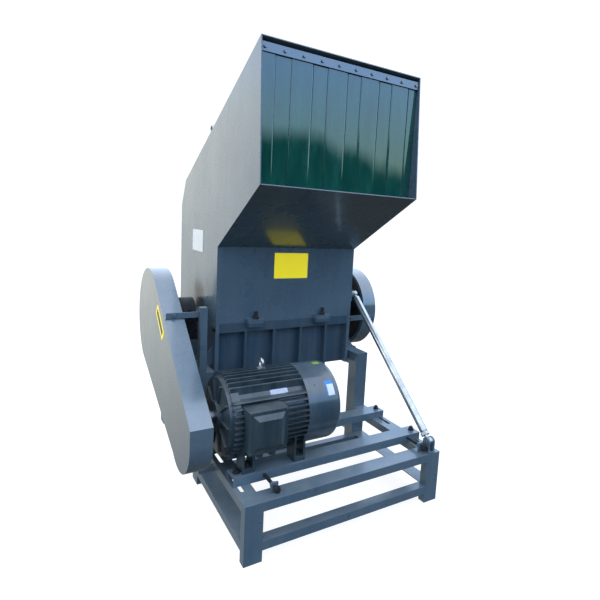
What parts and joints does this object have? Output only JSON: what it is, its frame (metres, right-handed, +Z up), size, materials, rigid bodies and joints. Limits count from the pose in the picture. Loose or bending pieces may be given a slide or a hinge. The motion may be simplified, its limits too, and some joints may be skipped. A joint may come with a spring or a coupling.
{
  "type": "plastic granulator",
  "caption": "Plastic granulator with a tilting side-feed hopper and strip curtain, belt-driven open rotor over a hinged screen, on an open channel frame.",
  "frame": {"origin": "on the floor, under the centre of the machine's bounding box", "axes": "+X to the flywheel side, +Y from the feed mouth and motor to the back, +Z up"},
  "size_m": [1.724, 1.86, 2.606],
  "materials": {
    "slate_paint": "semi-gloss",
    "motor_paint": "satin",
    "zinc_plate": "satin",
    "bright_steel": "satin",
    "dark_iron": "matte",
    "winding": "gloss",
    "belt_rubber": "matte",
    "curtain_vinyl": "gloss"
  },
  "bodies": {
    "frame": {"front_legs": "slate_paint", "front_top_rail": "slate_paint", "front_lower_rail": "slate_paint", "side_rails": "slate_paint", "lower_rails": "slate_paint", "front_posts": "slate_paint", "rear_posts": "slate_paint", "bearing_beam_left": "slate_paint", "bearing_beam_right": "slate_paint", "bearing_pedestals": "slate_paint", "motor_rail_front": "slate_paint", "motor_rail_rear": "slate_paint", "mounting_bolts": "dark_iron", "motor_housing": "motor_paint", "motor_stator": "winding", "motor_drive_shield": "motor_paint", "motor_rear_shield": "motor_paint", "motor_bearings": "bright_steel", "fan_cowl": "motor_paint", "terminal_box": "motor_paint", "terminal_box_lid": "motor_paint", "motor_eye_bolt": "zinc_plate", "drive_belts": "belt_rubber", "belt_guard": "slate_paint", "guard_stand": "slate_paint", "chamber_side_left": "slate_paint", "chamber_side_right": "slate_paint", "chamber_front_wall": "slate_paint", "chamber_rear_wall": "slate_paint", "flange_bolts": "dark_iron", "bed_knives": "bright_steel", "rotor_bearings": "dark_iron", "flywheel_guard": "slate_paint", "drum_brackets": "slate_paint", "jack_bracket": "slate_paint", "jack_pin": "zinc_plate"},
    "rotor": {"rotor_shaft": "bright_steel", "rotor_stars": "dark_iron", "rotor_knives": "bright_steel", "main_pulley": "dark_iron", "flywheel": "dark_iron"},
    "motor_rotor": {"motor_shaft": "bright_steel", "cooling_fan": "dark_iron", "motor_pulley": "dark_iron"},
    "hopper": {"hopper_side_left": "slate_paint", "hopper_side_right": "slate_paint", "hopper_front": "slate_paint", "hopper_roof": "slate_paint", "curtain_bar": "slate_paint", "lifting_eyes": "dark_iron", "hinge_pins": "zinc_plate"},
    "curtain": {"curtain_strips": "curtain_vinyl"},
    "clamp_left": {"clamp_screw_left": "dark_iron"},
    "clamp_right": {"clamp_screw_right": "dark_iron"},
    "jack_lower": {"jack_screw": "zinc_plate"},
    "jack_upper": {"jack_tube": "zinc_plate"},
    "cradle": {"screen_cradle": "slate_paint", "screen": "bright_steel"},
    "tension_pair": {"tension_screws": "dark_iron"}
  },
  "joints": [
    {"name": "rotor_spin", "type": "hinge", "parent": "frame", "child": "rotor", "pos_m": [0, 0.395, 1], "axis": [1, 0, 0], "continuous": true},
    {"name": "motor_spin", "type": "hinge", "parent": "frame", "child": "motor_rotor", "pos_m": [0, -0.514, 0.62], "axis": [1, 0, 0], "continuous": true},
    {"name": "hopper_tilt", "type": "hinge", "parent": "frame", "child": "hopper", "pos_m": [0, 0.87, 1.02], "axis": [-1, 0, 0], "range_deg": [0, 30]},
    {"name": "jack_swing", "type": "hinge", "parent": "frame", "child": "jack_lower", "pos_m": [0.585, -0.895, 0.385], "axis": [1, 0, 0], "range_deg": [0, 7]},
    {"name": "jack_extend", "type": "slide", "parent": "jack_lower", "child": "jack_upper", "axis": [0, 0.7491, 0.6624], "range_m": [0, 0.45]},
    {"name": "cradle_drop", "type": "hinge", "parent": "frame", "child": "cradle", "pos_m": [0, 0.725, 0.94], "axis": [1, 0, 0], "range_deg": [0, 50]},
    {"name": "curtain_swing", "type": "hinge", "parent": "hopper", "child": "curtain", "pos_m": [0, -0.614, 2.575], "axis": [1, 0, 0], "range_deg": [0, 45]},
    {"name": "clamp_left_unscrew", "type": "slide", "parent": "hopper", "child": "clamp_left", "axis": [0, 0, 1], "range_m": [0, 0.06]},
    {"name": "clamp_right_unscrew", "type": "slide", "parent": "hopper", "child": "clamp_right", "axis": [0, 0, 1], "range_m": [0, 0.06]},
    {"name": "tension_screw_travel", "type": "slide", "parent": "frame", "child": "tension_pair", "axis": [0, 1, 0], "range_m": [-0.03, 0]}
  ],
  "couplings": [
    {"joint": "motor_spin", "follows": "rotor_spin", "ratio": 2.5},
    {"joint": "jack_swing", "follows": "hopper_tilt", "ratio": 0.21801},
    {"joint": "jack_extend", "follows": "hopper_tilt", "m_per_rad": 0.82433}
  ]
}
